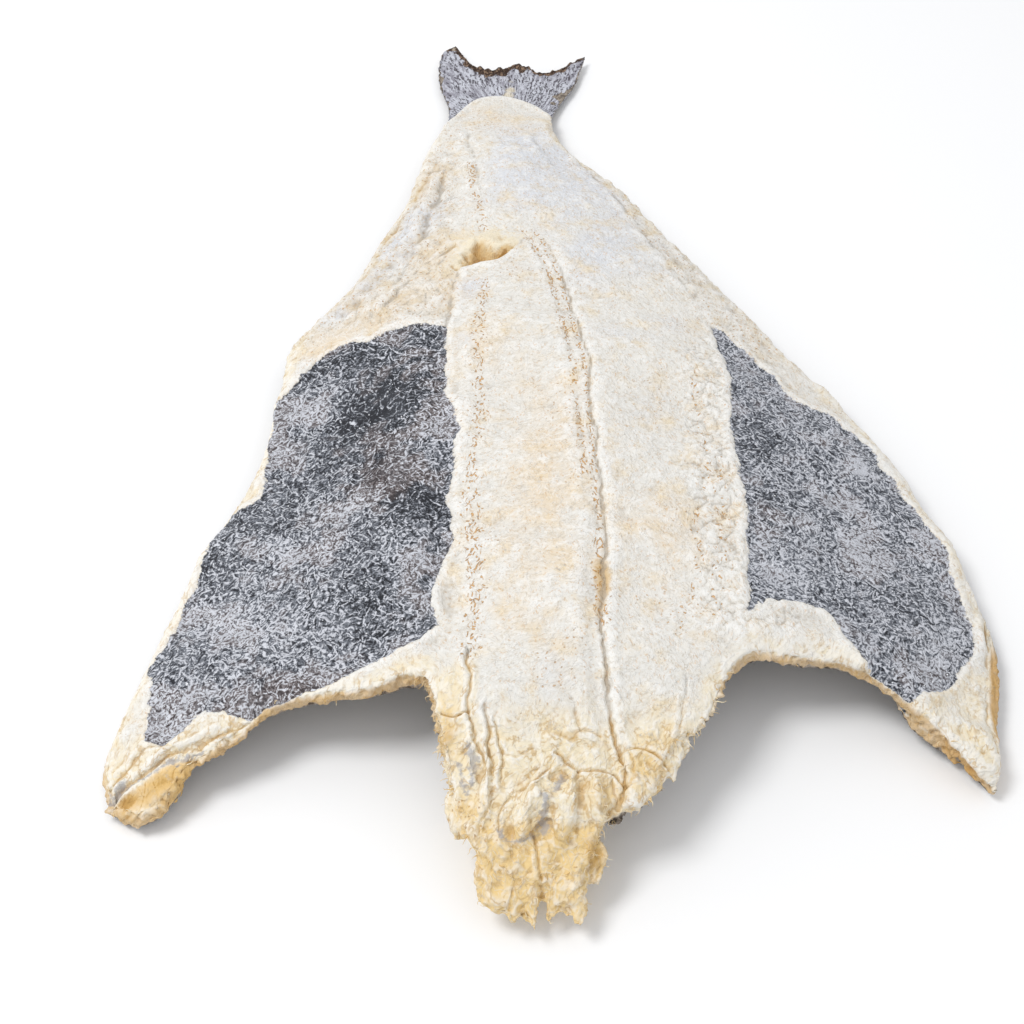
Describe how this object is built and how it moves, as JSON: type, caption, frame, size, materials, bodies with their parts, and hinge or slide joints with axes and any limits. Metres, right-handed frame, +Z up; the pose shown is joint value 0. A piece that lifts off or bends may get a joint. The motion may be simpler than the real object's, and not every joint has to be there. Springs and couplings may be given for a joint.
{
  "type": "salted dried cod",
  "caption": "Whole split cod, salted and dried, lying flesh side up: stiff arched body with two belly flaps, a ragged head cut and a tail fin.",
  "frame": {"origin": "centre of the bounding box at the surface that the fish lies on", "axes": "+Z up, out of the flesh side; +Y along the fish towards the tail; +X to the right seen from the head cut"},
  "size_m": [0.51, 0.8044, 0.0688],
  "materials": {
    "cured_flesh": "dry, fibrous, salt-cured flesh with dark membrane on the belly flaps"
  },
  "bodies": {
    "root": {"cod": "cured_flesh"}
  },
  "joints": []
}
